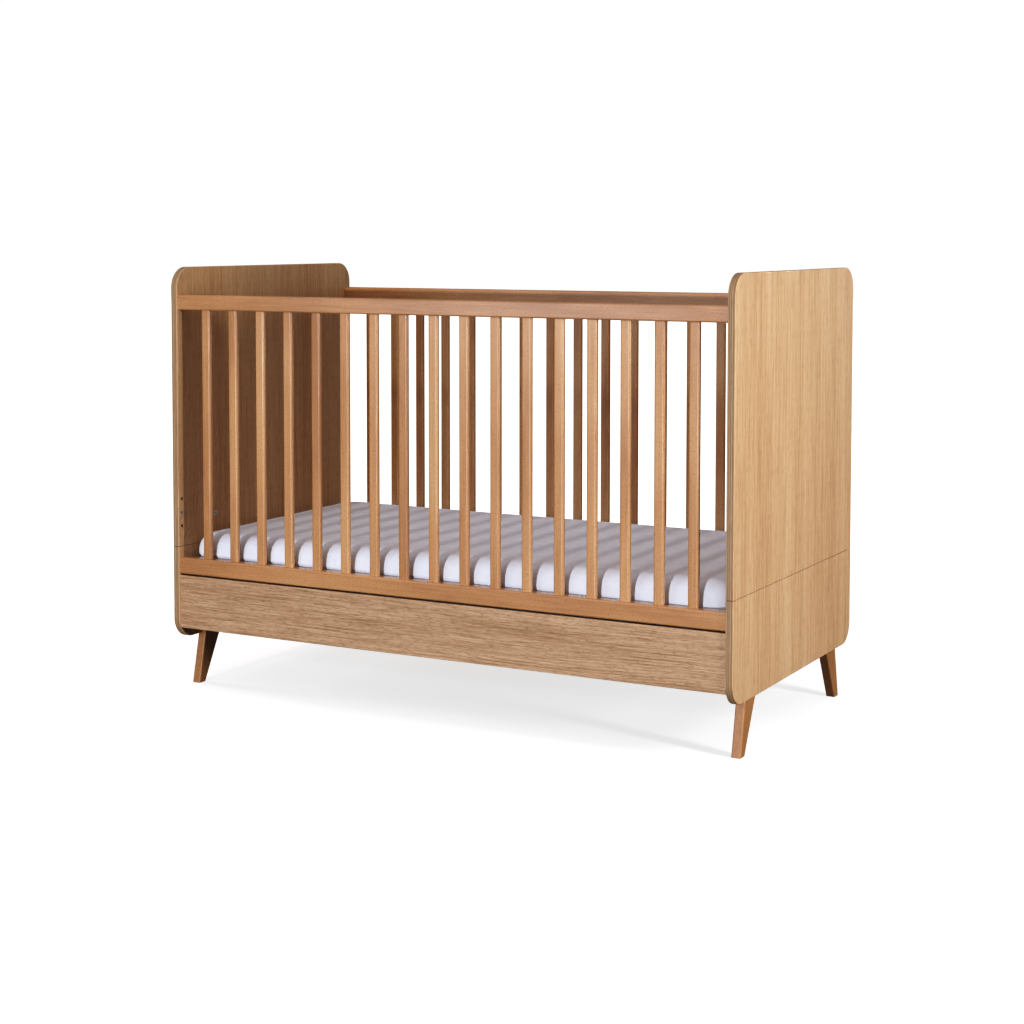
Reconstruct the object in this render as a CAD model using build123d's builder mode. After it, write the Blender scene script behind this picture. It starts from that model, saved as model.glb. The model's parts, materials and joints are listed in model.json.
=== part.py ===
"""Convertible baby crib, built in millimetres.

X runs along the crib, -Y is the front gate and +Z is up. The origin is on the floor under the
middle of the crib.
"""

import os

from build123d import *

os.makedirs("parts", exist_ok=True)

SIDES = {"left": -1, "right": 1}
FACES = {"front": -1, "rear": 1}
DOWNWARD = (Align.CENTER, Align.CENTER, Align.MAX)
UPWARD = (Align.CENTER, Align.CENTER, Align.MIN)

# End panels
inner_length = 1400.0
panel_thickness = 18.0
panel_width = 756.0
panel_bottom = 119.0
panel_joint = 342.5
panel_top = 1013.0
panel_corner_radius = 50.0
panel_edge_round = 2.5
joint_chamfer = 1.2
pick_tolerance = 0.1

# Gates
rail_setback = 3.0
rail_thickness = 25.0
rail_edge_round = 3.5
top_rail_bottom = 911.5
top_rail_height = 36.0
bottom_rail_bottom = 277.5
bottom_rail_height = 40.0
slat_count = 17
slat_pitch = 78.0
slat_width = 24.0
slat_thickness = 12.0
slat_edge_round = 4.5
mortise_depth = 12.0
mortise_clearance = 0.1

# Aprons
apron_thickness = 18.0
apron_bottom = 146.5
apron_height = 127.5
apron_edge_round = 1.5

# Legs, as the front leg's side outline
leg_thickness = 22.0
leg_inset = 6.0
foot_front = -315.6
foot_back = -291.6
leg_top_front = -290.0
leg_top_back = -229.6
leg_edge_round = 3.0
foot_chamfer = 1.0
tongue_thickness = 10.0
tongue_width = 36.0
tongue_height = 71.0

# Hardware
insert_radius = 5.0
insert_length = 12.0
flange_radius = 6.0
flange_thickness = 1.0
thread_radius = 2.5
stud_radius = 3.0
stud_head_radius = 3.4
stud_hole_radius = 3.5
cam_radius = 7.5
cam_length = 13.0
cam_slot_length = 9.75
cam_slot_width = 1.6
cam_slot_depth = 2.0
cam_from_end = 24.0
cam_axis_depth = 9.0
stud_reach = 26.0
stud_end_gap = 1.0
dowel_radius = 4.0
dowel_in_panel = 12.0
dowel_in_rail = 14.0
bolt_seat = 3.0
bolt_head_radius = 6.0
bolt_head_height = 3.0
bolt_head_gap = 1.0
bolt_clear_radius = 3.2
socket_radius = 2.4
socket_depth = 2.0

# Fixing points on the end panels
top_stud_height = top_rail_bottom + cam_axis_depth
top_dowel_height = 936.5
bottom_stud_height = 304.0
bottom_dowel_height = 288.0
board_dowel_offset = 32.5
board_height = 424.5
joint_stud_offset = 150.0
joint_dowel_offsets = (-290.0, 0.0, 290.0)
joint_dowel_depth = 20.0
base_fixing_y = 232.5
base_low_fixing = 178.5
base_high_fixing = 406.5
leg_bolt_heights = (140.0, 172.0)
pilot_radius = 1.3
pilot_depth = 6.0
pilot_points = ((342.0, 381.0), (338.0, 486.0))

# Slatted mattress base
base_clearance = 4.0
base_rail_bottom = 200.0
base_rail_height = 35.0
base_rail_thickness = 22.0
base_half_width = 348.0
base_edge_round = 2.0
base_slat_count = 14
base_slat_width = 55.0
base_slat_thickness = 10.0
tenon_length = 12.0
tenon_height = 20.0
tenon_thickness = 8.0
peg_radius = 4.0
peg_clearance = 0.3
peg_in_rail = 14.0
peg_below_rail = 6.0
peg_chamfer = 1.0
bracket_width = 40.0
bracket_reach = 40.0
bracket_drop = 43.0
bracket_thickness = 3.0
bracket_bend = 4.0

# Mattress
mattress_length = 1394.0
mattress_width = 694.0
mattress_thickness = 121.0
mattress_lift_off = 0.3
mattress_corner_radius = 60.0
mattress_top_round = 40.0
mattress_bottom_round = 14.0

# Derived places
half_inner = inner_length / 2
rail_y = panel_width / 2 - rail_setback - rail_thickness / 2
rail_inner_face = rail_y - rail_thickness / 2
apron_y = panel_width / 2 - rail_setback - apron_thickness / 2
apron_middle = apron_bottom + apron_height / 2
apron_inner_face = apron_y - apron_thickness / 2
panel_middle_x = half_inner + panel_thickness / 2
base_half_length = half_inner - base_clearance
base_top = base_rail_bottom + base_rail_height + base_slat_thickness
peg_x = base_half_length - base_rail_thickness / 2
bottom_rail_top = bottom_rail_bottom + bottom_rail_height
slat_length = top_rail_bottom - bottom_rail_top + 2 * mortise_depth
tongue_back = leg_top_front + tongue_width


def save(piece, name):
    """Label a finished piece and write it."""
    piece.part.label = name
    export_step(piece.part, f"parts/{name}.step")


def inner_plane(side, y, z, proud=0.0):
    """A plane on an end panel's inner face, facing the inside of the crib."""
    return Plane(origin=(side * (half_inner - proud), y, z), z_dir=(-side, 0, 0))


def joint_planes(side, offsets, upward):
    """Planes on the joint between the two boards of an end panel."""
    z_dir = (0, 0, 1) if upward else (0, 0, -1)
    return [Plane(origin=(side * panel_middle_x, y, panel_joint), z_dir=z_dir) for y in offsets]


def top_rail_stud(side, face):
    return inner_plane(side, face * rail_y, top_stud_height)


def bottom_rail_stud(side, face):
    y = rail_inner_face + cam_axis_depth
    return inner_plane(side, face * y, bottom_stud_height)


def apron_stud(side, face):
    return inner_plane(side, face * apron_y, apron_middle)


def at_both_gates(place, side):
    """The same fixing point at the front and at the rear of one end panel."""
    return [place(side, face) for face in FACES.values()]


def panel_joint_studs(side):
    return joint_planes(side, (-joint_stud_offset, joint_stud_offset), upward=False)


def board_inserts(side):
    """Free fixing points for a guard board above the mattress."""
    return [inner_plane(side, face * apron_y, board_height) for face in FACES.values()]


def board_dowel_holes(side, height):
    """Dowel places above and below a board's threaded insert."""
    places = []
    for face in FACES.values():
        for step in (-board_dowel_offset, board_dowel_offset):
            places.append(inner_plane(side, face * apron_y, height + step))
    return places


def base_fixings(side, height, proud=0.0):
    return [inner_plane(side, face * base_fixing_y, height, proud) for face in FACES.values()]


def one_leg_fixings(side, face, proud=0.0):
    y = -face * (leg_top_front + tongue_back) / 2
    return [inner_plane(side, y, z, proud) for z in leg_bolt_heights]


def leg_fixings(side, proud=0.0):
    fixings = [one_leg_fixings(side, face, proud) for face in FACES.values()]
    return sum(fixings, [])


def rail_dowels(side, height):
    return [inner_plane(side, face * rail_y, height) for face in FACES.values()]


def end_studs(side):
    rails = at_both_gates(top_rail_stud, side) + at_both_gates(bottom_rail_stud, side)
    return rails + at_both_gates(apron_stud, side)


def end_dowels(side):
    rails = rail_dowels(side, top_dowel_height) + rail_dowels(side, bottom_dowel_height)
    return rails + board_dowel_holes(side, apron_middle)


def top_rail_cam(side, face):
    """Mouth of a cam pocket in the underside of a top rail."""
    x = side * (half_inner - cam_from_end)
    return Plane(origin=(x, face * rail_y, top_rail_bottom), z_dir=(0, 0, -1))


def bottom_rail_cam(side, face):
    x = side * (half_inner - cam_from_end)
    place = (x, face * rail_inner_face, bottom_stud_height)
    return Plane(origin=place, z_dir=(0, -face, 0))


def apron_cam(side, face):
    x = side * (half_inner - cam_from_end)
    return Plane(origin=(x, face * apron_inner_face, apron_middle), z_dir=(0, -face, 0))


def panel_cams(side):
    height = panel_joint - cam_from_end
    return [inner_plane(side, y, height) for y in (-joint_stud_offset, joint_stud_offset)]


def end_cams(side):
    """Mouths of all cam pockets that belong to one end of the crib."""
    rails = at_both_gates(top_rail_cam, side) + at_both_gates(bottom_rail_cam, side)
    return rails + at_both_gates(apron_cam, side) + panel_cams(side)


def insert_pockets(planes):
    with Locations(*planes):
        CounterBoreHole(insert_radius, flange_radius, flange_thickness, insert_length)


def plain_holes(planes, radius, depth):
    with Locations(*planes):
        Hole(radius, depth)


def panel_blank(side, low, high, rounded_end):
    """One board of an end panel, with its two free corners rounded and its joint edge chamfered."""
    left_face = min(side * half_inner, side * (half_inner + panel_thickness))
    with BuildPart() as board:
        with BuildSketch(Plane.YZ.offset(left_face)):
            with Locations((0, (low + high) / 2)):
                Rectangle(panel_width, high - low)
            fillet(vertices().group_by(Axis.Y)[rounded_end], panel_corner_radius)
        extrude(amount=panel_thickness)
        faces_rim = board.faces().filter_by(Axis.X).edges()
        near_joint = (panel_joint - pick_tolerance, panel_joint + pick_tolerance)
        at_joint = faces_rim.filter_by_position(Axis.Z, *near_joint)
        fillet(faces_rim - at_joint, panel_edge_round)
        level_faces = board.faces().filter_by(Axis.Z)
        joint_face = level_faces.filter_by_position(Axis.Z, *near_joint)
        chamfer(joint_face.edges(), joint_chamfer)
    return board


def upper_panel(name, side):
    blank = panel_blank(side, panel_joint, panel_top, -1)
    with BuildPart() as board:
        add(blank.part)
        insert_pockets(
            at_both_gates(top_rail_stud, side)
            + board_inserts(side)
            + base_fixings(side, base_high_fixing)
            + panel_joint_studs(side)
        )
        plain_holes(
            rail_dowels(side, top_dowel_height) + board_dowel_holes(side, board_height),
            dowel_radius,
            dowel_in_panel,
        )
        plain_holes(joint_planes(side, joint_dowel_offsets, False), dowel_radius, joint_dowel_depth)
        for y, z in pilot_points:
            pilots = [inner_plane(side, face * y, z) for face in FACES.values()]
            plain_holes(pilots, pilot_radius, pilot_depth)
    save(board, f"{name}_upper_panel")


def lower_panel(name, side):
    blank = panel_blank(side, panel_bottom, panel_joint, 0)
    stud_ways = joint_planes(side, (-joint_stud_offset, joint_stud_offset), upward=True)
    with BuildPart() as board:
        add(blank.part)
        insert_pockets(
            at_both_gates(bottom_rail_stud, side)
            + at_both_gates(apron_stud, side)
            + base_fixings(side, base_low_fixing)
            + leg_fixings(side)
        )
        plain_holes(
            rail_dowels(side, bottom_dowel_height) + board_dowel_holes(side, apron_middle),
            dowel_radius,
            dowel_in_panel,
        )
        plain_holes(joint_planes(side, joint_dowel_offsets, True), dowel_radius, joint_dowel_depth)
        plain_holes(stud_ways, stud_hole_radius, stud_reach)
        plain_holes(panel_cams(side), cam_radius, cam_length)
    save(board, f"{name}_lower_panel")


def rail(name, face, low, height, mortise_from, mortise_up, end_fixings):
    """A gate rail with rounded long edges, slat mortises and its end fixings."""
    stud_place, cam_place, dowel_height = end_fixings
    with BuildPart() as bar:
        with BuildSketch(Plane.YZ.offset(-half_inner)):
            with Locations((face * rail_y, low + height / 2)):
                Rectangle(rail_thickness, height)
            fillet(vertices(), rail_edge_round)
        extrude(amount=inner_length)
        with BuildSketch(Plane.XY.offset(mortise_from)):
            with Locations((0, face * rail_y)):
                with GridLocations(slat_pitch, 0, slat_count, 1):
                    RectangleRounded(
                        slat_width + 2 * mortise_clearance,
                        slat_thickness + 2 * mortise_clearance,
                        slat_edge_round + mortise_clearance,
                    )
        extrude(amount=mortise_up, mode=Mode.SUBTRACT)
        for side in SIDES.values():
            plain_holes([bar_end(stud_place(side, face))], stud_hole_radius, stud_reach)
            plain_holes([cam_place(side, face)], cam_radius, cam_length)
            dowel = inner_plane(side, face * rail_y, dowel_height)
            plain_holes([bar_end(dowel)], dowel_radius, dowel_in_rail)
    save(bar, name)


def bar_end(plane):
    """The same place seen from the bar that butts against the panel."""
    return Plane(origin=plane.origin, z_dir=-plane.z_dir)


def gate_slat(name, face, x):
    with BuildPart() as slat:
        with BuildSketch(Plane.XY.offset(bottom_rail_top - mortise_depth)):
            with Locations((x, face * rail_y)):
                RectangleRounded(slat_width, slat_thickness, slat_edge_round)
        extrude(amount=slat_length)
    save(slat, name)


def apron(name, face):
    with BuildPart() as board:
        with BuildSketch(Plane.YZ.offset(-half_inner)):
            with Locations((face * apron_y, apron_middle)):
                Rectangle(apron_thickness, apron_height)
            fillet(vertices(), apron_edge_round)
        extrude(amount=inner_length)
        for side in SIDES.values():
            plain_holes([bar_end(apron_stud(side, face))], stud_hole_radius, stud_reach)
            plain_holes([apron_cam(side, face)], cam_radius, cam_length)
            for step in (-board_dowel_offset, board_dowel_offset):
                dowel = inner_plane(side, face * apron_y, apron_middle + step)
                plain_holes([bar_end(dowel)], dowel_radius, dowel_in_rail)
    save(board, name)


def leg(name, side, face):
    """A splayed, tapered leg whose tongue laps the panel's inner face."""
    outer = half_inner + panel_thickness - leg_inset
    low_x = min(side * outer, side * (outer - leg_thickness))
    outline = [
        (foot_front, 0),
        (foot_back, 0),
        (leg_top_back, panel_bottom),
        (leg_top_front, panel_bottom),
    ]
    with BuildPart() as post:
        with BuildSketch(Plane.YZ.offset(low_x)):
            with BuildLine():
                Polyline([(-face * y, z) for y, z in outline], close=True)
            make_face()
        extrude(amount=leg_thickness)
        long_edges = post.edges().filter_by(lambda edge: edge.length > panel_bottom)
        fillet(long_edges, leg_edge_round)
        chamfer(post.faces().sort_by(Axis.Z)[0].edges(), foot_chamfer)
        tongue_x = side * (half_inner - tongue_thickness / 2)
        tongue_y = -face * (leg_top_front + tongue_back) / 2
        with BuildSketch(Plane.XY.offset(panel_bottom)):
            with Locations((tongue_x, tongue_y)):
                Rectangle(tongue_thickness, tongue_width)
        extrude(amount=tongue_height)
        with Locations(*one_leg_fixings(side, face, tongue_thickness)):
            CounterBoreHole(
                bolt_clear_radius,
                bolt_head_radius + bolt_head_gap,
                tongue_thickness - bolt_seat,
                tongue_thickness,
            )
    save(post, name)


def base_frame():
    """The frame that carries the mattress slats: two long rails and two tenoned end rails."""
    middle_z = base_rail_bottom + base_rail_height / 2
    end_length = 2 * (base_half_width - base_rail_thickness)
    with BuildPart() as end_rails:
        for side in SIDES.values():
            with BuildSketch(Plane.XZ.offset(-end_length / 2)):
                with Locations((side * peg_x, middle_z)):
                    Rectangle(base_rail_thickness, base_rail_height)
            extrude(amount=end_length)
            with BuildSketch(Plane.XZ.offset(-end_length / 2 - tenon_length)):
                with Locations((side * peg_x, middle_z)):
                    Rectangle(tenon_thickness, tenon_height)
            extrude(amount=end_length + 2 * tenon_length)
            pegs = [
                Plane(origin=(side * peg_x, face * base_fixing_y, base_rail_bottom), z_dir=(0, 0, -1))
                for face in FACES.values()
            ]
            plain_holes(pegs, peg_radius, peg_in_rail)
    save(end_rails, "base_end_rails")

    for word, face in FACES.items():
        y = face * (base_half_width - base_rail_thickness / 2)
        with BuildPart() as long_rail:
            with BuildSketch(Plane.YZ.offset(-base_half_length)):
                with Locations((y, middle_z)):
                    Rectangle(base_rail_thickness, base_rail_height)
                fillet(vertices(), base_edge_round)
            extrude(amount=2 * base_half_length)
            tenon_middle = face * (end_length / 2 + tenon_length / 2)
            for side in SIDES.values():
                with Locations((side * peg_x, tenon_middle, middle_z)):
                    Box(tenon_thickness, tenon_length, tenon_height, mode=Mode.SUBTRACT)
        save(long_rail, f"base_{word}_rail")

    slat_step = (2 * base_half_length - base_slat_width) / (base_slat_count - 1)
    with BuildPart() as slats:
        with BuildSketch(Plane.XY.offset(base_rail_bottom + base_rail_height)):
            with GridLocations(slat_step, 0, base_slat_count, 1):
                Rectangle(base_slat_width, 2 * base_half_width)
        extrude(amount=base_slat_thickness)
        fillet(slats.edges().filter_by(Axis.Y), base_edge_round)
    save(slats, "base_slats")

    with BuildPart() as pegs:
        with BuildSketch(Plane.XY.offset(base_rail_bottom - peg_below_rail)):
            with GridLocations(2 * peg_x, 2 * base_fixing_y, 2, 2):
                Circle(peg_radius)
        extrude(amount=peg_below_rail + peg_in_rail)
        chamfer(pegs.faces().group_by(Axis.Z)[0].edges(), peg_chamfer)
    save(pegs, "base_pegs")


def base_brackets():
    """Steel angles bolted to the end panels, with a hole for each locating peg."""
    with BuildPart() as angles:
        for side in SIDES.values():
            reach_x = side * (half_inner - bracket_reach)
            wall_x = side * half_inner
            leaf_x = side * (half_inner - bracket_thickness)
            top = base_rail_bottom
            under = top - bracket_thickness
            outline = [
                (wall_x, top),
                (reach_x, top),
                (reach_x, under),
                (leaf_x, under),
                (leaf_x, top - bracket_drop),
                (wall_x, top - bracket_drop),
            ]
            for face in FACES.values():
                with BuildSketch(Plane.XZ.offset(-face * base_fixing_y - bracket_width / 2)):
                    with BuildLine():
                        Polyline(outline, close=True)
                    make_face()
                    outer_corner = vertices().sort_by_distance((wall_x, top))[0]
                    inner_corner = vertices().sort_by_distance((leaf_x, under))[0]
                    fillet(outer_corner, bracket_bend)
                    fillet(inner_corner, bracket_bend - bracket_thickness)
                extrude(amount=bracket_width)
            plain_holes(
                base_fixings(side, base_low_fixing, bracket_thickness),
                bolt_clear_radius,
                bracket_thickness,
            )
            peg_holes = [
                Plane(origin=(side * peg_x, face * base_fixing_y, top), z_dir=(0, 0, 1))
                for face in FACES.values()
            ]
            plain_holes(peg_holes, peg_radius + peg_clearance, bracket_thickness)
    save(angles, "base_brackets")


def hardware():
    """The inserts, studs, cams, dowels and bolts that hold the crib together."""
    studs = []
    inserts = []
    dowels = []
    bolts = []
    for side in SIDES.values():
        studs += end_studs(side) + panel_joint_studs(side)
        inserts += end_studs(side) + panel_joint_studs(side) + board_inserts(side)
        inserts += base_fixings(side, base_low_fixing) + base_fixings(side, base_high_fixing)
        inserts += leg_fixings(side)
        dowels += end_dowels(side)
        bolts += base_fixings(side, base_low_fixing, bolt_seat) + leg_fixings(side, bolt_seat)

    with BuildPart() as threaded_inserts:
        with Locations(*inserts):
            Cylinder(insert_radius, insert_length, align=DOWNWARD)
            Cylinder(flange_radius, flange_thickness, align=DOWNWARD)
            Hole(thread_radius, insert_length)
    save(threaded_inserts, "threaded_inserts")

    head_start = cam_from_end - stud_head_radius
    with BuildPart() as cam_studs:
        with Locations(*studs):
            Cylinder(thread_radius, insert_length, align=DOWNWARD)
            Cylinder(stud_radius, head_start, align=UPWARD)
        heads = [plane.offset(head_start) for plane in studs]
        with Locations(*heads):
            Cylinder(stud_head_radius, stud_reach - head_start - stud_end_gap, align=UPWARD)
    save(cam_studs, "cam_studs")

    with BuildPart() as cam_nuts:
        for side in SIDES.values():
            with Locations(*end_cams(side)):
                Cylinder(cam_radius, cam_length, align=DOWNWARD)
                for long_way in (0, 90):
                    with Locations(Rotation(0, 0, long_way)):
                        Box(
                            cam_slot_length,
                            cam_slot_width,
                            cam_slot_depth,
                            align=DOWNWARD,
                            mode=Mode.SUBTRACT,
                        )
        with Locations(*studs):
            Cylinder(stud_hole_radius, stud_reach, align=UPWARD, mode=Mode.SUBTRACT)
    save(cam_nuts, "cam_nuts")

    with BuildPart() as wood_dowels:
        with Locations(*dowels):
            Cylinder(dowel_radius, dowel_in_panel, align=DOWNWARD)
            Cylinder(dowel_radius, dowel_in_rail, align=UPWARD)
        for side in SIDES.values():
            with Locations(*joint_planes(side, joint_dowel_offsets, True)):
                Cylinder(dowel_radius, 2 * joint_dowel_depth)
    save(wood_dowels, "dowels")

    with BuildPart() as panel_bolts:
        with Locations(*bolts):
            Cylinder(bolt_head_radius, bolt_head_height, align=UPWARD)
            Cylinder(thread_radius, insert_length + bolt_seat, align=DOWNWARD)
        head_tops = [plane.offset(bolt_head_height) for plane in bolts]
        with BuildSketch(*head_tops):
            RegularPolygon(socket_radius, 6)
        extrude(amount=-socket_depth, mode=Mode.SUBTRACT)
    save(panel_bolts, "panel_bolts")


def mattress():
    with BuildPart() as pad:
        with BuildSketch(Plane.XY.offset(base_top + mattress_lift_off)):
            RectangleRounded(mattress_length, mattress_width, mattress_corner_radius)
        extrude(amount=mattress_thickness)
        fillet(pad.faces().sort_by(Axis.Z)[-1].edges(), mattress_top_round)
        fillet(pad.faces().sort_by(Axis.Z)[0].edges(), mattress_bottom_round)
    save(pad, "mattress")


for side_word, side_sign in SIDES.items():
    upper_panel(side_word, side_sign)
    lower_panel(side_word, side_sign)
    for face_word, face_sign in FACES.items():
        leg(f"{face_word}_{side_word}_leg", side_sign, face_sign)

for face_word, face_sign in FACES.items():
    rail(
        f"{face_word}_top_rail",
        face_sign,
        top_rail_bottom,
        top_rail_height,
        top_rail_bottom,
        mortise_depth + mortise_clearance,
        (top_rail_stud, top_rail_cam, top_dowel_height),
    )
    rail(
        f"{face_word}_bottom_rail",
        face_sign,
        bottom_rail_bottom,
        bottom_rail_height,
        bottom_rail_top - mortise_depth,
        mortise_depth,
        (bottom_rail_stud, bottom_rail_cam, bottom_dowel_height),
    )
    for number in range(slat_count):
        slat_x = (number - (slat_count - 1) / 2) * slat_pitch
        gate_slat(f"{face_word}_slat_{number + 1:02d}", face_sign, slat_x)
    apron(f"{face_word}_apron", face_sign)

base_frame()
base_brackets()
hardware()
mattress()
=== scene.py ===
"""Looks of the baby crib: woods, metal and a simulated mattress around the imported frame."""

import json
import math

import bmesh
import bpy
import numpy as np
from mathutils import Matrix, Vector


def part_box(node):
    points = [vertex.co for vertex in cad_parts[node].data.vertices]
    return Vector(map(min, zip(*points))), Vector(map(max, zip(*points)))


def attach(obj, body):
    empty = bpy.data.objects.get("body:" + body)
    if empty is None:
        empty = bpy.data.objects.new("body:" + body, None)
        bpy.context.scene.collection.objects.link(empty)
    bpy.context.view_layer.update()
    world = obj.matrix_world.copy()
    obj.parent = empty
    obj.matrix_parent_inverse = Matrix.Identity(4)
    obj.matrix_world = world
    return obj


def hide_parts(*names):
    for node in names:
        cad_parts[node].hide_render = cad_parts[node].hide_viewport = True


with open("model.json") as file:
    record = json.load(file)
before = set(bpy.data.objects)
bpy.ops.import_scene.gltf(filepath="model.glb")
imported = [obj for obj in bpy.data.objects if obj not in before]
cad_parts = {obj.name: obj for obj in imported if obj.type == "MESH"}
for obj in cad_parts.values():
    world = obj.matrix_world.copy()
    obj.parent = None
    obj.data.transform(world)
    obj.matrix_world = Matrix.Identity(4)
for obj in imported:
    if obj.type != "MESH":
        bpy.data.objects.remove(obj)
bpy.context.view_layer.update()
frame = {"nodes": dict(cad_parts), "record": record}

X, Y, Z = 0, 1, 2

# End panels and aprons. Lengths are in metres.
PANEL_THICKNESS = 0.018
PLY_COUNT = 4
RINGS_PER_METRE = 150.0
# Painted shade: a darker tint multiplied onto the faces of panels and aprons that turn towards the
# middle of the crib.
INNER_SIDE_PAINTED_SHADE = (0.80, 0.71, 0.60)

# Mattress cover: the block it starts from, its simulation and its last shape.
MATTRESS_INSET = 0.003
MATTRESS_CROWN = 0.006
MATTRESS_CORNER = 0.052
MATTRESS_TOP_ROUND = 0.036
MATTRESS_BOTTOM_ROUND = 0.014
MATTRESS_VOXEL = 0.008
CLOTH_FRAMES = 20
MATTRESS_SWELL = 0.005
MATTRESS_LEAN = 0.0075
KNIT_PITCH = 0.0016

# Light and picture.
WHITE_LIGHT = (1, 1, 1)
COOL_LIGHT = (0.95, 1.0, 1.08)
WORLD_TINT = (1.0, 0.94, 0.95)
WORLD_LEVELS = ((0.0, 0.10), (0.48, 0.07), (0.54, 0.10), (0.8, 0.36), (1.0, 0.66))
FILM_CURVE = (
    (0.045, 0.024), (0.09, 0.058), (0.17, 0.135), (0.30, 0.275), (0.55, 0.575), (0.80, 0.83)
)
CAMERA_TILT = 3.448
CAMERA_TURN = 28.795


def srgb(red, green, blue):
    """Linear colour of an sRGB triple from 0 to 255."""
    def linear(value):
        share = value / 255
        return share / 12.92 if share <= 0.04045 else ((share + 0.055) / 1.055) ** 2.4
    return (linear(red), linear(green), linear(blue))


def scaled(colour, factor):
    return [channel * factor for channel in colour]


def set_stops(color_ramp, stops):
    """Give a colour ramp its stops, each a place and a colour."""
    elements = color_ramp.elements
    while len(elements) < len(stops):
        elements.new(0.5)
    for element, (place, colour) in zip(elements, stops):
        element.position = place
        element.color = (*colour, 1)


class Graph:
    """A material with short calls for adding and linking shader nodes."""

    def __init__(self, name):
        self.material = bpy.data.materials.new(name)
        self.material.use_nodes = True
        self.nodes = self.material.node_tree.nodes
        self.links = self.material.node_tree.links
        self.shader = self.nodes["Principled BSDF"]
        self.coordinates = self.nodes.new("ShaderNodeTexCoord")
        self.place = self.coordinates.outputs["Object"]

    def feed(self, node, inputs):
        """Link or set a node's inputs, which are given by name or number."""
        for key, value in inputs.items():
            if isinstance(value, bpy.types.NodeSocket):
                self.links.new(value, node.inputs[key])
            else:
                node.inputs[key].default_value = value

    def node(self, kind, inputs, **settings):
        made = self.nodes.new(kind)
        for key, value in settings.items():
            setattr(made, key, value)
        self.feed(made, inputs)
        return made

    def surface(self, inputs):
        """Link or set the inputs of the material's own shader."""
        self.feed(self.shader, inputs)

    def math(self, operation, a, b=0.0):
        return self.node("ShaderNodeMath", {0: a, 1: b}, operation=operation).outputs[0]

    def total(self, *weighted):
        """Sum of sockets, each given with its weight."""
        terms = [self.math("MULTIPLY", socket, weight) for socket, weight in weighted]
        result = terms[0]
        for term in terms[1:]:
            result = self.math("ADD", result, term)
        return result

    def split(self, vector):
        """The x, y and z sockets of a vector."""
        return self.node("ShaderNodeSeparateXYZ", {0: vector}).outputs

    def grain_space(self, across, along, depth):
        """Object coordinates reordered as across the grain, along it and into the wood."""
        parts = self.split(self.place)
        order = {"X": parts[across], "Y": parts[along], "Z": parts[depth]}
        return self.node("ShaderNodeCombineXYZ", order).outputs[0]

    def stretch(self, vector, factors, offset=(0, 0, 0)):
        """Coordinates for a texture with as many cells in a metre as factors say."""
        inputs = {"Vector": vector, "Scale": factors, "Location": offset}
        return self.node("ShaderNodeMapping", inputs).outputs[0]

    def noise(self, vector, detail, roughness):
        inputs = {"Vector": vector, "Scale": 1.0, "Detail": detail, "Roughness": roughness}
        return self.node("ShaderNodeTexNoise", inputs).outputs["Fac"]

    def between(self, value, low, high, to_low=0.0, to_high=1.0):
        """Clamped slope that takes low to to_low and high to to_high."""
        inputs = {
            "Value": value,
            "From Min": low,
            "From Max": high,
            "To Min": to_low,
            "To Max": to_high,
        }
        return self.node("ShaderNodeMapRange", inputs, clamp=True).outputs[0]

    def ramp(self, value, stops):
        made = self.node("ShaderNodeValToRGB", {"Fac": value})
        set_stops(made.color_ramp, stops)
        return made.outputs["Color"]

    def mix(self, share, a, b, blend="MIX"):
        """Blend two colours, each a socket or a plain colour."""
        a, b = (c if isinstance(c, bpy.types.NodeSocket) else (*c, 1) for c in (a, b))
        inputs = {0: share, 6: a, 7: b}
        return self.node("ShaderNodeMix", inputs, data_type="RGBA", blend_type=blend).outputs[2]

    def bump(self, height, strength, distance):
        inputs = {"Height": height, "Strength": strength, "Distance": distance}
        self.surface({"Normal": self.node("ShaderNodeBump", inputs).outputs[0]})


def ply_edge(g, space, inner, tones):
    """Colour of a plywood edge: plies of alternate tone between thin dark glue lines."""
    light, mid, dark = tones
    into = g.math("SUBTRACT", g.math("ABSOLUTE", g.split(space)[2]), inner)
    ply = g.math("DIVIDE", into, PANEL_THICKNESS / PLY_COUNT)
    odd = g.math("GREATER_THAN", g.math("FRACT", g.math("MULTIPLY", ply, 0.5)), 0.5)
    from_middle = g.math("ABSOLUTE", g.math("SUBTRACT", g.math("FRACT", ply), 0.5))
    glue = g.between(from_middle, 0.34, 0.44, 0.0, 0.8)
    fibre = g.noise(g.stretch(space, (28, 28, 900)), 3, 0.6)
    specks = g.noise(g.stretch(space, (420, 420, 600)), 2, 0.5)
    colour = g.ramp(fibre, [(0.35, scaled(mid, 0.60)), (0.65, scaled(light, 0.72))])
    colour = g.mix(g.math("MULTIPLY", odd, 0.4), colour, scaled(dark, 0.62))
    colour = g.mix(g.between(specks, 0.55, 0.75, 0.0, 0.3), colour, scaled(dark, 0.5))
    return g.mix(glue, colour, scaled(dark, 0.25))


def growth_lines(g, space, bent, strength):
    """Depth of the dark wavy lines on a flat-sawn face, which fade in and out in patches."""
    sway = g.noise(g.stretch(space, (5, 1.1, 4), (8, 3, 1)), 1, 0.4)
    ring = g.math("PINGPONG", g.total((g.split(bent)[0], RINGS_PER_METRE), (sway, 9.0)), 0.5)
    patches = g.noise(g.stretch(space, (14, 0.9, 4), (4, 6, 2)), 1, 0.4)
    line = g.between(ring, 0.26, 0.5, 0.0, 0.075 * strength)
    return g.math("MULTIPLY", line, g.between(patches, 0.40, 0.56))


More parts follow.
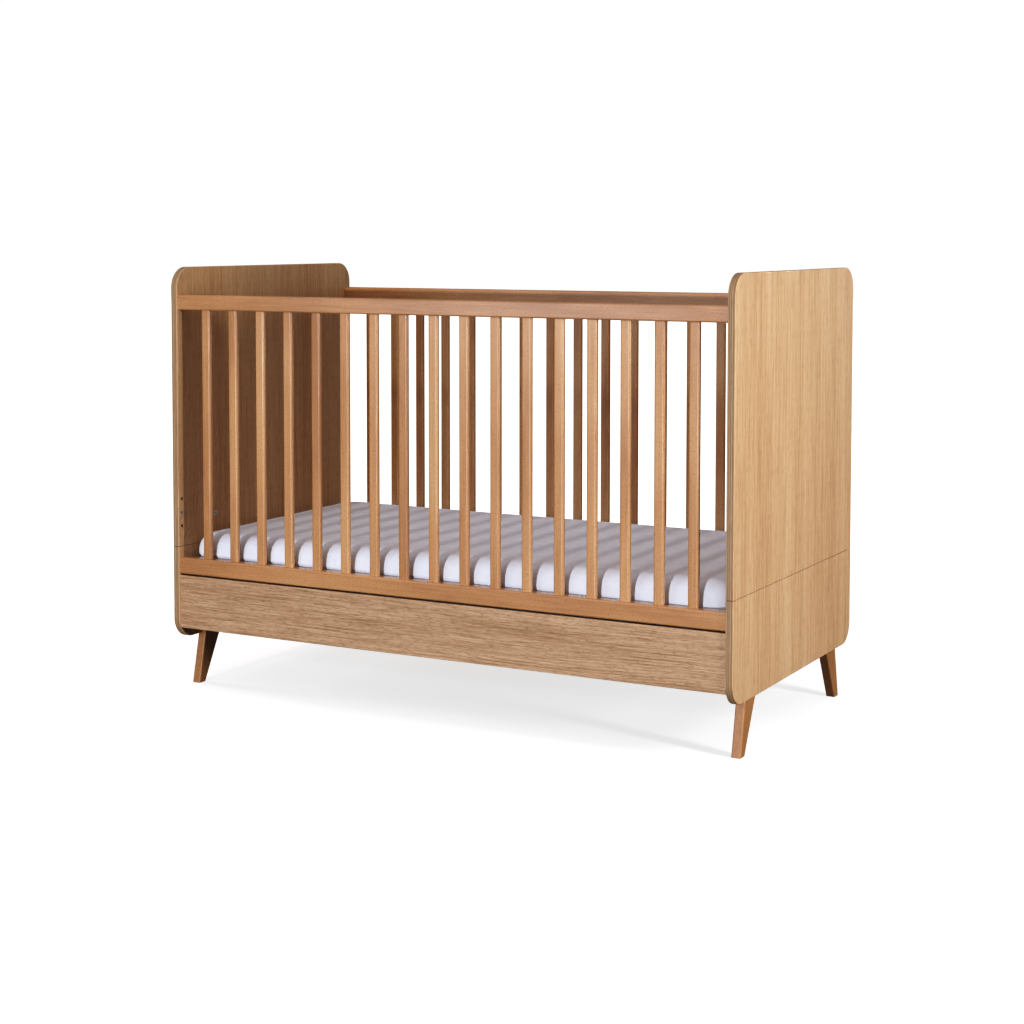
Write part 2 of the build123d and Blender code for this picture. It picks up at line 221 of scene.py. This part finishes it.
def oak_veneer(name, across, along, depth, inner, tones, rings=0.0, joint=None):
    """Oak veneer on plywood: bands, streaks and pores along the grain, plies on the edges, and
    painted shade on the inner faces.

    inner is the distance of the inner face from the middle of the crib. rings adds the wavy
    growth lines of a flat-sawn face. joint is the height of a board joint, along which a thin line
    of painted shade is drawn.
    """
    light, mid, dark = tones
    g = Graph(name)
    space = g.grain_space(across, along, depth)
    waver = g.noise(g.stretch(space, (6, 1.7, 30)), 2, 0.5)
    swing = g.math("MULTIPLY", g.math("SUBTRACT", waver, 0.5), 0.010 + 0.014 * rings)
    push = g.node("ShaderNodeCombineXYZ", {"X": swing}).outputs[0]
    bent = g.node("ShaderNodeVectorMath", {0: space, 1: push}, operation="ADD").outputs[0]

    streak_cells = (120 + 50 * rings, 1.6 + 0.8 * rings, 5)
    thread_cells = (420 + 160 * rings, 8 + 4 * rings, 12)
    dash_cells = (700 + 200 * rings, 42 + 30 * rings, 60)
    bands = g.noise(g.stretch(bent, (11, 0.5, 3)), 2, 0.5)
    streaks = g.noise(g.stretch(bent, streak_cells, (3, 1, 0)), 3, 0.6)
    threads = g.noise(g.stretch(bent, thread_cells, (0, 7, 2)), 3, 0.65)
    dashes = g.noise(g.stretch(bent, dash_cells, (5, 2, 9)), 2, 0.6)
    band_share = 0.32 - 0.12 * rings
    streak_share = 0.20 + 0.06 * rings
    thread_share = 1 - band_share - streak_share
    tone = g.total((bands, band_share), (streaks, streak_share), (threads, thread_share))
    if rings:
        tone = g.math("SUBTRACT", tone, growth_lines(g, space, bent, rings))
    colour = g.ramp(tone, [(0.38, dark), (0.49, mid), (0.61, light)])
    pores = g.between(dashes, 0.53, 0.66, 0.0, 0.46 + 0.2 * rings)
    colour = g.mix(pores, colour, scaled(dark, 0.6))

    facing = g.split(g.coordinates.outputs["Normal"])[depth]
    on_edge = g.between(g.math("ABSOLUTE", facing), 0.45, 0.62, 1.0, 0.0)
    colour = g.mix(on_edge, colour, ply_edge(g, space, inner, tones))
    # Painted shade: faces turned towards the middle of the crib are darkened by the inner-side
    # tint.
    outward = g.math("MULTIPLY", g.math("SIGN", g.split(space)[2]), facing)
    painted_shade_inside = g.between(outward, -0.8, -0.5, 0.7, 0.0)
    colour = g.mix(painted_shade_inside, colour, INNER_SIDE_PAINTED_SHADE, "MULTIPLY")
    # Painted shade: a thin dark line along the board joint, where the groove's shade falls.
    if joint:
        from_joint = g.math("ABSOLUTE", g.math("SUBTRACT", g.split(g.place)[Z], joint))
        joint_painted_shade = g.between(from_joint, 0.0004, 0.0012, 0.6, 0.0)
        colour = g.mix(joint_painted_shade, colour, scaled(dark, 0.3))

    rough = g.between(tone, 0.38, 0.60, 0.62, 0.48)
    g.surface({"Base Color": colour, "Roughness": rough, "Specular IOR Level": 0.35})
    g.bump(g.total((threads, 0.5), (pores, -0.8)), 0.3, 0.0004)
    return g.material


def piece_shift(g, space, pitch):
    """Shift of tone that is the same all over one piece and differs from piece to piece."""
    parts = g.split(space)
    number = g.math("ROUND", g.math("DIVIDE", parts[0], pitch))
    gate = g.math("MULTIPLY", g.math("SIGN", parts[2]), 50.0)
    seed = g.math("ADD", number, gate)
    dice = g.node("ShaderNodeTexWhiteNoise", {"W": seed}, noise_dimensions="1D")
    return g.between(dice.outputs["Value"], 0.0, 1.0, -0.06, 0.06)


def beech(name, across, along, depth, tones, lacquer, piece_pitch=None):
    """Lacquered beech: soft streaks along the grain and short dark flecks.

    piece_pitch is the spacing of equal pieces that get a tone each.
    """
    light, mid, dark = tones
    g = Graph(name)
    space = g.grain_space(across, along, depth)
    clouds = g.noise(g.stretch(space, (9, 2.6, 9)), 3, 0.5)
    streaks = g.noise(g.stretch(space, (120, 3, 120), (1, 4, 2)), 4, 0.6)
    threads = g.noise(g.stretch(space, (500, 16, 500)), 2, 0.5)
    flecks = g.noise(g.stretch(space, (760, 190, 760), (2, 3, 1)), 1, 0.5)
    tone = g.total((clouds, 0.54), (streaks, 0.26), (threads, 0.20))
    if piece_pitch:
        tone = g.math("ADD", tone, piece_shift(g, space, piece_pitch))
    colour = g.ramp(tone, [(0.36, dark), (0.5, mid), (0.64, light)])
    fleck_mask = g.between(flecks, 0.57, 0.69, 0.0, 0.5)
    g.surface({
        "Base Color": g.mix(fleck_mask, colour, scaled(dark, 0.5)),
        "Roughness": g.between(tone, 0.36, 0.64, 0.44, 0.34),
        "Specular IOR Level": 0.5,
        "Coat Weight": lacquer,
        "Coat Roughness": 0.26,
    })
    g.bump(g.total((threads, 0.5), (fleck_mask, -0.6)), 0.2, 0.0003)
    return g.material


def plated_metal(name, tint, roughness):
    """Zinc-plated or die-cast metal with a cloudy, slightly scuffed finish."""
    g = Graph(name)
    clouds = g.noise(g.stretch(g.place, (180, 180, 180)), 4, 0.6)
    scuffs = g.noise(g.stretch(g.place, (900, 900, 250)), 2, 0.5)
    g.surface({
        "Base Color": g.ramp(clouds, [(0.3, scaled(tint, 0.72)), (0.7, tint)]),
        "Metallic": 1.0,
        "Roughness": g.between(scuffs, 0.3, 0.7, roughness - 0.08, roughness + 0.12),
    })
    g.bump(scuffs, 0.15, 0.0002)
    return g.material


def jersey(name, tint, shade):
    """Fine knitted cotton: tiny columns of stitches, faint slub and a soft sheen."""
    g = Graph(name)
    turns = 2 * math.pi / KNIT_PITCH
    waves = [g.math("SINE", g.math("MULTIPLY", part, turns)) for part in g.split(g.place)]
    knit = g.math("ADD", g.math("ADD", waves[0], waves[1]), waves[2])
    slub = g.noise(g.stretch(g.place, (60, 60, 60)), 4, 0.6)
    clouds = g.noise(g.stretch(g.place, (5, 5, 5)), 3, 0.5)
    tone = g.total((slub, 0.5), (clouds, 0.5))
    g.surface({
        "Base Color": g.ramp(tone, [(0.35, shade), (0.62, tint)]),
        "Roughness": g.between(slub, 0.3, 0.7, 0.85, 0.95),
        "Specular IOR Level": 0.2,
        "Sheen Weight": 0.25,
        "Sheen Roughness": 0.5,
    })
    g.bump(g.math("ADD", g.math("MULTIPLY", knit, 0.12), slub), 0.25, 0.0005)
    return g.material


def inner_face(node, axis):
    """Distance of a board's inner face from the middle of the crib."""
    low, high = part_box(node)
    return min(abs(low[axis]), abs(high[axis]))


def make_materials():
    """A material for each material slot that the record names."""
    oak = (srgb(224, 188, 146), srgb(210, 170, 127), srgb(186, 142, 99))
    apron = (srgb(209, 176, 142), srgb(192, 156, 121), srgb(158, 119, 86))
    warm_beech = (srgb(211, 164, 116), srgb(197, 146, 97), srgb(172, 119, 74))
    rail_beech = (srgb(205, 156, 107), srgb(190, 137, 88), srgb(165, 112, 68))
    leg_beech = (srgb(191, 140, 92), srgb(176, 124, 77), srgb(152, 102, 60))
    pine = (srgb(226, 196, 150), srgb(214, 180, 132), srgb(192, 152, 104))
    end_inner = inner_face("right_upper_panel", X)
    apron_inner = inner_face("front_apron", Y)
    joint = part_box("right_upper_panel")[0].z
    first, second = (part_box(f"front_slat_{n}")[0].x for n in ("01", "02"))
    slat_pitch = abs(second - first)
    steel = plated_metal("plated_steel", (0.66, 0.67, 0.69), 0.34)
    return {
        "panel_oak": oak_veneer("oak_panel", Y, Z, X, end_inner, oak, joint=joint),
        "apron_oak": oak_veneer("oak_apron", Z, X, Y, apron_inner, apron, rings=1.0),
        "rail_beech": beech("beech_rail", Z, X, Y, rail_beech, lacquer=0.8),
        "slat_beech": beech("beech_slat", X, Z, Y, warm_beech, 0.4, slat_pitch),
        "leg_beech": beech("beech_leg", X, Z, Y, leg_beech, lacquer=0.15),
        "base_pine": beech("pine_base", X, Y, Z, pine, lacquer=0.0),
        "dowel_beech": beech("beech_dowel", Y, X, Z, warm_beech, lacquer=0.0),
        "bracket_steel": steel,
        "insert_steel": steel,
        "bolt_steel": steel,
        "cam_zinc": plated_metal("cast_zinc", (0.60, 0.60, 0.62), 0.42),
        "mattress_cover": jersey("cotton_jersey", srgb(240, 243, 252), srgb(232, 234, 246)),
    }


def dress_frame(materials):
    """Give every CAD node its procedural material."""
    for part in frame["record"]["subparts"]:
        for slot in frame["nodes"][part["node"]].material_slots:
            slot.material = materials[part["material_slot"]]


def rounded_block(name, low, high, corner, top_round, bottom_round):
    """A closed block with rounded upright corners and softer rounds along its top and bottom."""
    work = bmesh.new()
    bmesh.ops.create_cube(work, size=1.0)
    centre = (low + high) / 2
    size = high - low
    for vertex in work.verts:
        vertex.co = Vector([centre[i] + vertex.co[i] * size[i] for i in range(3)])
    upright = [e for e in work.edges if abs(e.verts[0].co.z - e.verts[1].co.z) > size.z / 2]
    bmesh.ops.bevel(work, geom=upright, offset=corner, segments=10, profile=0.5, affect="EDGES")
    for level, radius in ((high.z, top_round), (low.z, bottom_round)):
        rim = [e for e in work.edges if all(abs(v.co.z - level) < 1e-6 for v in e.verts)]
        bmesh.ops.bevel(work, geom=rim, offset=radius, segments=8, profile=0.5, affect="EDGES")
    mesh = bpy.data.meshes.new(name)
    work.to_mesh(mesh)
    work.free()
    piece = bpy.data.objects.new(name, mesh)
    bpy.context.scene.collection.objects.link(piece)
    return piece


def apply_modifiers(piece):
    """Replace a piece's mesh with the result of its modifiers, and remove them."""
    graph = bpy.context.evaluated_depsgraph_get()
    final = bpy.data.meshes.new_from_object(piece.evaluated_get(graph))
    piece.modifiers.clear()
    piece.data = final


def points_of(mesh):
    """The points of a mesh as an array with a row for each."""
    flat = np.empty(len(mesh.vertices) * 3)
    mesh.vertices.foreach_get("co", flat)
    return flat.reshape(-1, 3)


def set_points(mesh, points):
    mesh.vertices.foreach_set("co", points.ravel())
    mesh.update()


def plump(piece, cap):
    """Swell a closed cover with cloth pressure, and keep every point within cap of its start."""
    start = points_of(piece.data)
    cloth = piece.modifiers.new("cover", "CLOTH")
    settings = cloth.settings
    settings.quality = 6
    settings.mass = 0.25
    settings.tension_stiffness = 18
    settings.compression_stiffness = 6
    settings.shear_stiffness = 6
    settings.bending_stiffness = 0.4
    settings.use_pressure = True
    settings.uniform_pressure_force = 4.0
    settings.effector_weights.gravity = 0.0
    cloth.collision_settings.use_collision = False
    scene = bpy.context.scene
    for number in range(1, CLOTH_FRAMES + 1):
        scene.frame_set(number)
    apply_modifiers(piece)
    scene.frame_set(1)
    moved = points_of(piece.data) - start
    length = np.linalg.norm(moved, axis=1, keepdims=True)
    share = cap * np.tanh(length / cap) / np.maximum(length, 1e-9)
    set_points(piece.data, start + moved * share)


def smooth_step(values, start, end):
    """Ease from 0 at start to 1 at end."""
    share = np.clip((values - start) / (end - start), 0.0, 1.0)
    return share * share * (3 - 2 * share)


def lean_on_slats(points):
    """Let the cover bulge forward over the bottom rail, most at the left end of the front gate."""
    rail_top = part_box("front_bottom_rail")[1].z
    half_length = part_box("mattress")[1].x
    near_left = np.clip(0.5 - 0.5 * points[:, X] / half_length, 0, 1)
    above_rail = smooth_step(points[:, Z], rail_top - 0.002, rail_top + 0.006)
    near_front = smooth_step(-points[:, Y], 0.24, 0.33)
    points[:, Y] -= MATTRESS_LEAN * near_left * above_rail * near_front
    return points


def make_mattress(material):
    low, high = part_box("mattress")
    inset = Vector((MATTRESS_INSET, MATTRESS_INSET, MATTRESS_INSET))
    lift = Vector((0, 0, MATTRESS_CROWN))
    rounds = (MATTRESS_CORNER, MATTRESS_TOP_ROUND, MATTRESS_BOTTOM_ROUND)
    piece = rounded_block("mattress_cover", low + inset, high - inset + lift, *rounds)
    remesh = piece.modifiers.new("even", "REMESH")
    remesh.mode = "VOXEL"
    remesh.voxel_size = MATTRESS_VOXEL
    apply_modifiers(piece)
    smooth = piece.modifiers.new("smooth", "SMOOTH")
    smooth.factor = 0.5
    smooth.iterations = 2
    apply_modifiers(piece)
    plump(piece, MATTRESS_SWELL)
    finer = piece.modifiers.new("finer", "SUBSURF")
    finer.levels = 1
    apply_modifiers(piece)
    inside_box = np.clip(points_of(piece.data), np.array(low), np.array(high + lift))
    set_points(piece.data, lean_on_slats(inside_box))
    piece.data.materials.clear()
    piece.data.materials.append(material)
    piece.data.polygons.foreach_set("use_smooth", [True] * len(piece.data.polygons))
    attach(piece, "mattress")
    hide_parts("mattress")


def area_light(name, place, target, size, power, colour):
    """Rectangular lamp at a place, turned to a target and not seen by the camera."""
    data = bpy.data.lights.new(name, "AREA")
    data.shape = "RECTANGLE"
    data.size, data.size_y = size
    data.energy = power
    data.color = colour
    lamp = bpy.data.objects.new(name, data)
    lamp.location = place
    lamp.rotation_euler = (Vector(target) - Vector(place)).to_track_quat("-Z", "Y").to_euler()
    lamp.visible_camera = False
    bpy.context.scene.collection.objects.link(lamp)


def sun_light(name, azimuth, elevation, strength, spread, colour=WHITE_LIGHT):
    """Parallel light that comes from an azimuth right of the front, at an elevation."""
    data = bpy.data.lights.new(name, "SUN")
    data.energy = strength
    data.angle = math.radians(spread)
    data.color = colour
    lamp = bpy.data.objects.new(name, data)
    lamp.rotation_euler = (math.radians(90 - elevation), 0, math.radians(azimuth))
    bpy.context.scene.collection.objects.link(lamp)


def make_lights():
    """A low frontal key and soft fills, so that no side is left in the dark."""
    sun_light("key", azimuth=0, elevation=0.6, strength=1.5, spread=0.8, colour=COOL_LIGHT)
    sun_light("high_key", azimuth=0, elevation=20, strength=0.4, spread=5, colour=COOL_LIGHT)
    sun_light("back_fill", azimuth=180, elevation=4, strength=1.1, spread=6)
    for name, place, target, size, power, colour in (
        ("window", (-1.85, -4.6, 0.95), (0.0, -0.4, 0.8), (1.5, 0.7), 25, COOL_LIGHT),
        ("right_fill", (2.1, -0.42, 0.98), (0.72, -0.1, 0.74), (0.2, 0.4), 9, COOL_LIGHT),
        ("edge_light", (5.0, -1.15, 1.05), (0.0, -0.3, 0.8), (0.3, 0.8), 107, COOL_LIGHT),
        ("rim", (2.3, 4.2, 0.95), (0.7, 0.0, 0.8), (1.2, 0.8), 3, COOL_LIGHT),
        ("left_fill", (-2.6, -0.10, 0.66), (-0.72, -0.1, 0.6), (0.4, 0.5), 13, WHITE_LIGHT),
    ):
        area_light(name, place, target, size, power, colour)


def floor_paint():
    """Pale paint that glows a little near the crib and fully far away, so it ends in white."""
    g = Graph("floor_paint")
    clouds = g.noise(g.stretch(g.place, (0.4, 0.4, 0.4)), 2, 0.5)
    away = g.node("ShaderNodeVectorMath", {0: g.place}, operation="LENGTH").outputs["Value"]
    g.surface({
        "Base Color": g.ramp(clouds, [(0.3, (0.78, 0.78, 0.78)), (0.7, (0.80, 0.80, 0.80))]),
        "Emission Strength": g.between(away, 0.9, 2.6, 0.62, 1.0),
        "Emission Color": (1, 1, 1, 1),
        "Roughness": 0.9,
        "Specular IOR Level": 0.0,
    })
    return g.material


def backdrop_paint():
    """White that shines by itself and takes no light."""
    g = Graph("backdrop_paint")
    clouds = g.noise(g.stretch(g.place, (0.1, 0.1, 0.1)), 2, 0.5)
    g.surface({
        "Base Color": (0, 0, 0, 1),
        "Emission Color": g.ramp(clouds, [(0.3, (0.99, 0.99, 0.99)), (0.7, (1, 1, 1))]),
        "Emission Strength": 1.02,
        "Specular IOR Level": 0.0,
    })
    return g.material


def make_stage():
    """A pale floor inside a white studio. Neither sends light back to the crib: the world does."""
    bpy.ops.mesh.primitive_plane_add(size=60, location=(0, 0, -0.0005))
    floor = bpy.context.object
    floor.name = "floor"
    floor.data.materials.append(floor_paint())
    bpy.ops.mesh.primitive_uv_sphere_add(radius=28, segments=48, ring_count=24)
    backdrop = bpy.context.object
    backdrop.name = "backdrop"
    backdrop.data.materials.append(backdrop_paint())
    for stage in (floor, backdrop):
        stage.visible_diffuse = False
        stage.visible_glossy = False
        stage.visible_transmission = False
        stage.visible_shadow = False


def make_world():
    """Soft light from all round, weakest at the horizon and strongest overhead."""
    world = bpy.data.worlds.new("studio")
    bpy.context.scene.world = world
    world.use_nodes = True
    nodes = world.node_tree.nodes
    links = world.node_tree.links
    coordinates = nodes.new("ShaderNodeTexCoord")
    parts = nodes.new("ShaderNodeSeparateXYZ")
    links.new(coordinates.outputs["Generated"], parts.inputs[0])
    height = nodes.new("ShaderNodeMapRange")
    height.inputs["From Min"].default_value = -1.0
    links.new(parts.outputs[Z], height.inputs["Value"])
    ramp = nodes.new("ShaderNodeValToRGB")
    stops = [(place, scaled(WORLD_TINT, level)) for place, level in WORLD_LEVELS]
    set_stops(ramp.color_ramp, stops)
    links.new(height.outputs[0], ramp.inputs["Fac"])
    links.new(ramp.outputs["Color"], nodes["Background"].inputs["Color"])


def grade():
    """Plain display colour with a mild film curve: deeper shadows and a soft shoulder."""
    view = bpy.context.scene.view_settings
    view.view_transform = "Standard"
    view.look = "None"
    view.use_curve_mapping = True
    all_channels = view.curve_mapping.curves[3]
    for place, value in FILM_CURVE:
        all_channels.points.new(place, value)
    view.curve_mapping.update()


def make_camera():
    data = bpy.data.cameras.new("camera")
    data.lens = 67.29
    data.sensor_width = 36
    data.shift_x = 0.0224
    data.shift_y = -0.16
    camera = bpy.data.objects.new("camera", data)
    camera.location = (2.1453, -4.0114, 1.0944)
    camera.rotation_euler = (math.radians(90 - CAMERA_TILT), 0, math.radians(CAMERA_TURN))
    bpy.context.scene.collection.objects.link(camera)
    bpy.context.scene.camera = camera


make_camera()
make_world()
make_lights()
make_stage()
materials = make_materials()
dress_frame(materials)
make_mattress(materials["mattress_cover"])
grade()
